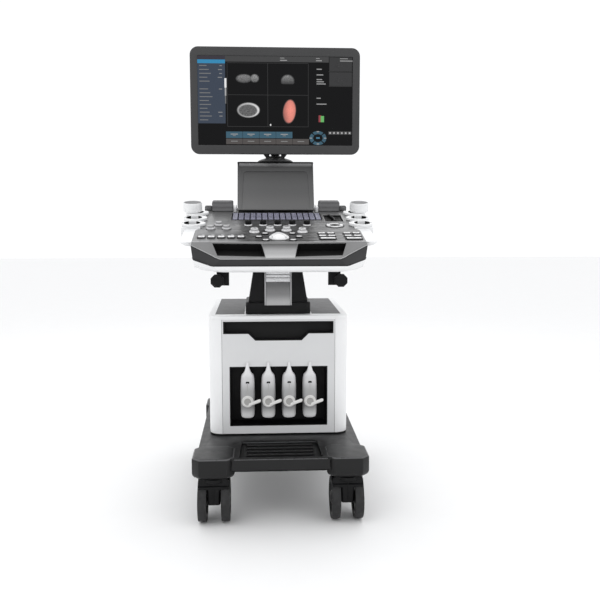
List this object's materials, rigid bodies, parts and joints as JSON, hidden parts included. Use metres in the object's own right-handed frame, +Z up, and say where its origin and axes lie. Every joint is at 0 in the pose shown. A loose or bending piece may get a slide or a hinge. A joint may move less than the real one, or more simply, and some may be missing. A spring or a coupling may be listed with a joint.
{
  "type": "ultrasound machine",
  "caption": "Cart-based ultrasound scanner: caster base, body with probe connectors, lift column, angled control console with probe cups, and a tilting widescreen monitor.",
  "frame": {"origin": "on the floor under the middle of the base, at the bounding box's bottom centre", "axes": "+Z up; the user stands at -Y facing +Y; +X to the user's right"},
  "size_m": [0.594, 0.72, 1.417],
  "materials": {
    "base_plastic": "satin",
    "steel_frame": "satin",
    "white_plastic": "satin",
    "panel_plastic": "satin",
    "mat_rubber": "satin",
    "black_plastic": "satin",
    "connector_plastic": "satin",
    "strip_metal": "satin",
    "mast_metal": "satin",
    "deck_paint": "satin",
    "bumper_plastic": "satin",
    "speaker_grille": "satin",
    "hood_paint": "satin",
    "bezel_plastic": "satin",
    "screen_glass": "satin",
    "yoke_plastic": "satin",
    "key_plastic": "satin",
    "button_plastic": "satin",
    "knob_plastic": "satin",
    "silver_plastic": "satin",
    "ball_plastic": "satin",
    "fork_plastic": "satin",
    "wheel_rubber": "satin"
  },
  "bodies": {
    "chassis": {"base_cover": "base_plastic", "chassis_frame": "steel_frame", "body_left_cover": "white_plastic", "body_right_cover": "white_plastic", "body_front_panel": "panel_plastic", "body_top_cover": "white_plastic", "body_top_mats": "mat_rubber", "body_rear_panel": "white_plastic", "front_grip_insert": "black_plastic", "connector_bay": "black_plastic", "electronics_rack": "steel_frame", "probe_connectors": "connector_plastic", "column_base": "black_plastic", "column_shroud": "black_plastic", "column_front_cover": "strip_metal"},
    "front_left_caster": {"front_left_caster_fork": "fork_plastic"},
    "front_left_wheels": {"front_left_caster_wheels": "wheel_rubber"},
    "front_right_caster": {"front_right_caster_fork": "fork_plastic"},
    "front_right_wheels": {"front_right_caster_wheels": "wheel_rubber"},
    "rear_left_caster": {"rear_left_caster_fork": "fork_plastic"},
    "rear_left_wheels": {"rear_left_caster_wheels": "wheel_rubber"},
    "rear_right_caster": {"rear_right_caster_fork": "fork_plastic"},
    "rear_right_wheels": {"rear_right_caster_wheels": "wheel_rubber"},
    "console": {"column_mast": "mast_metal", "console_lower_shell": "white_plastic", "console_deck": "deck_paint", "front_bumper": "bumper_plastic", "cable_hooks": "black_plastic", "trackball_surround": "ball_plastic", "speakers": "speaker_grille", "probe_holder_left": "white_plastic", "probe_holder_right": "white_plastic", "tall_cup_left": "white_plastic", "tall_cup_right": "white_plastic", "hood_cover": "hood_paint", "hood_housing": "black_plastic"},
    "lever_1": {"connector_lever_1": "connector_plastic"},
    "lever_2": {"connector_lever_2": "connector_plastic"},
    "lever_3": {"connector_lever_3": "connector_plastic"},
    "lever_4": {"connector_lever_4": "connector_plastic"},
    "rear_encoder_1": {"rear_encoder_1": "knob_plastic"},
    "rear_encoder_2": {"rear_encoder_2": "knob_plastic"},
    "rear_encoder_3": {"rear_encoder_3": "knob_plastic"},
    "rear_encoder_4": {"rear_encoder_4": "knob_plastic"},
    "rear_encoder_5": {"rear_encoder_5": "knob_plastic"},
    "front_encoder_1": {"front_encoder_1": "silver_plastic"},
    "front_encoder_2": {"front_encoder_2": "silver_plastic"},
    "front_encoder_3": {"front_encoder_3": "silver_plastic"},
    "front_encoder_4": {"front_encoder_4": "silver_plastic"},
    "left_knob_1": {"left_knob_1": "silver_plastic"},
    "left_knob_2": {"left_knob_2": "silver_plastic"},
    "left_knob_3": {"left_knob_3": "silver_plastic"},
    "trackball": {"trackball": "ball_plastic"},
    "function_keys": {"function_keys": "button_plastic"},
    "keyboard_keys": {"keyboard_keys": "key_plastic"},
    "tgc_sliders": {"tgc_sliders": "knob_plastic"},
    "monitor_turntable": {"monitor_yoke": "yoke_plastic"},
    "monitor": {"monitor_bezel": "bezel_plastic", "monitor_screen": "screen_glass", "monitor_rear_cover": "black_plastic"}
  },
  "joints": [
    {"name": "front_left_caster_swivel", "type": "hinge", "parent": "chassis", "child": "front_left_caster", "pos_m": [-0.19, -0.322, 0.15], "axis": [0, 0, 1], "continuous": true},
    {"name": "front_left_wheel_spin", "type": "hinge", "parent": "front_left_caster", "child": "front_left_wheels", "pos_m": [-0.19, -0.297, 0.0625], "axis": [1, 0, 0], "continuous": true},
    {"name": "front_right_caster_swivel", "type": "hinge", "parent": "chassis", "child": "front_right_caster", "pos_m": [0.19, -0.322, 0.15], "axis": [0, 0, 1], "continuous": true},
    {"name": "front_right_wheel_spin", "type": "hinge", "parent": "front_right_caster", "child": "front_right_wheels", "pos_m": [0.19, -0.297, 0.0625], "axis": [1, 0, 0], "continuous": true},
    {"name": "rear_left_caster_swivel", "type": "hinge", "parent": "chassis", "child": "rear_left_caster", "pos_m": [-0.19, 0.268, 0.15], "axis": [0, 0, 1], "continuous": true},
    {"name": "rear_left_wheel_spin", "type": "hinge", "parent": "rear_left_caster", "child": "rear_left_wheels", "pos_m": [-0.19, 0.293, 0.0625], "axis": [1, 0, 0], "continuous": true},
    {"name": "rear_right_caster_swivel", "type": "hinge", "parent": "chassis", "child": "rear_right_caster", "pos_m": [0.19, 0.268, 0.15], "axis": [0, 0, 1], "continuous": true},
    {"name": "rear_right_wheel_spin", "type": "hinge", "parent": "rear_right_caster", "child": "rear_right_wheels", "pos_m": [0.19, 0.293, 0.0625], "axis": [1, 0, 0], "continuous": true},
    {"name": "column_lift", "type": "slide", "parent": "chassis", "child": "console", "axis": [0, 0, 1], "range_m": [0, 0.1]},
    {"name": "connector_lock_1", "type": "hinge", "parent": "chassis", "child": "lever_1", "pos_m": [-0.09525, -0.14, 0.308], "axis": [0, 1, 0], "range_deg": [0, 90]},
    {"name": "connector_lock_2", "type": "hinge", "parent": "chassis", "child": "lever_2", "pos_m": [-0.03175, -0.14, 0.308], "axis": [0, 1, 0], "range_deg": [0, 90]},
    {"name": "connector_lock_3", "type": "hinge", "parent": "chassis", "child": "lever_3", "pos_m": [0.03175, -0.14, 0.308], "axis": [0, 1, 0], "range_deg": [0, 90]},
    {"name": "connector_lock_4", "type": "hinge", "parent": "chassis", "child": "lever_4", "pos_m": [0.09525, -0.14, 0.308], "axis": [0, 1, 0], "range_deg": [0, 90]},
    {"name": "rear_encoder_1_turn", "type": "hinge", "parent": "console", "child": "rear_encoder_1", "pos_m": [-0.09, -0.06329, 0.84092], "axis": [0, -0.2006, 0.9797], "continuous": true},
    {"name": "rear_encoder_2_turn", "type": "hinge", "parent": "console", "child": "rear_encoder_2", "pos_m": [-0.045, -0.06329, 0.84092], "axis": [0, -0.2006, 0.9797], "continuous": true},
    {"name": "rear_encoder_3_turn", "type": "hinge", "parent": "console", "child": "rear_encoder_3", "pos_m": [0, -0.06329, 0.84092], "axis": [0, -0.2006, 0.9797], "continuous": true},
    {"name": "rear_encoder_4_turn", "type": "hinge", "parent": "console", "child": "rear_encoder_4", "pos_m": [0.045, -0.06329, 0.84092], "axis": [0, -0.2006, 0.9797], "continuous": true},
    {"name": "rear_encoder_5_turn", "type": "hinge", "parent": "console", "child": "rear_encoder_5", "pos_m": [0.09, -0.06329, 0.84092], "axis": [0, -0.2006, 0.9797], "continuous": true},
    {"name": "front_encoder_1_turn", "type": "hinge", "parent": "console", "child": "front_encoder_1", "pos_m": [-0.071, -0.1544, 0.82227], "axis": [0, -0.2006, 0.9797], "continuous": true},
    {"name": "front_encoder_2_turn", "type": "hinge", "parent": "console", "child": "front_encoder_2", "pos_m": [-0.0245, -0.1348, 0.82628], "axis": [0, -0.2006, 0.9797], "continuous": true},
    {"name": "front_encoder_3_turn", "type": "hinge", "parent": "console", "child": "front_encoder_3", "pos_m": [0.0245, -0.1348, 0.82628], "axis": [0, -0.2006, 0.9797], "continuous": true},
    {"name": "front_encoder_4_turn", "type": "hinge", "parent": "console", "child": "front_encoder_4", "pos_m": [0.071, -0.1544, 0.82227], "axis": [0, -0.2006, 0.9797], "continuous": true},
    {"name": "left_knob_1_turn", "type": "hinge", "parent": "console", "child": "left_knob_1", "pos_m": [-0.202, -0.10933, 0.83149], "axis": [0, -0.2006, 0.9797], "continuous": true},
    {"name": "left_knob_2_turn", "type": "hinge", "parent": "console", "child": "left_knob_2", "pos_m": [-0.155, -0.10933, 0.83149], "axis": [0, -0.2006, 0.9797], "continuous": true},
    {"name": "left_knob_3_turn", "type": "hinge", "parent": "console", "child": "left_knob_3", "pos_m": [-0.18, -0.06035, 0.84152], "axis": [0, -0.2006, 0.9797], "continuous": true},
    {"name": "trackball_roll", "type": "hinge", "parent": "console", "child": "trackball", "pos_m": [0, -0.21921, 0.79981], "axis": [1, 0, 0], "continuous": true},
    {"name": "function_keys_press", "type": "slide", "parent": "console", "child": "function_keys", "axis": [0, -0.2006, 0.9797], "range_m": [-0.0015, 0], "stiffness_N_per_m": 1500, "springref_m": 0.002},
    {"name": "keyboard_keys_press", "type": "slide", "parent": "console", "child": "keyboard_keys", "axis": [0, -0.2006, 0.9797], "range_m": [-0.002, 0], "stiffness_N_per_m": 2500, "springref_m": 0.003},
    {"name": "tgc_slide", "type": "slide", "parent": "console", "child": "tgc_sliders", "axis": [1, 0, 0], "range_m": [-0.008, 0.008]},
    {"name": "monitor_swivel", "type": "hinge", "parent": "console", "child": "monitor_turntable", "pos_m": [0, 0.226, 1.06], "axis": [0, 0, 1], "range_deg": [-60, 60]},
    {"name": "monitor_tilt", "type": "hinge", "parent": "monitor_turntable", "child": "monitor", "pos_m": [0, 0.226, 1.108], "axis": [1, 0, 0], "range_deg": [-15, 8]}
  ]
}
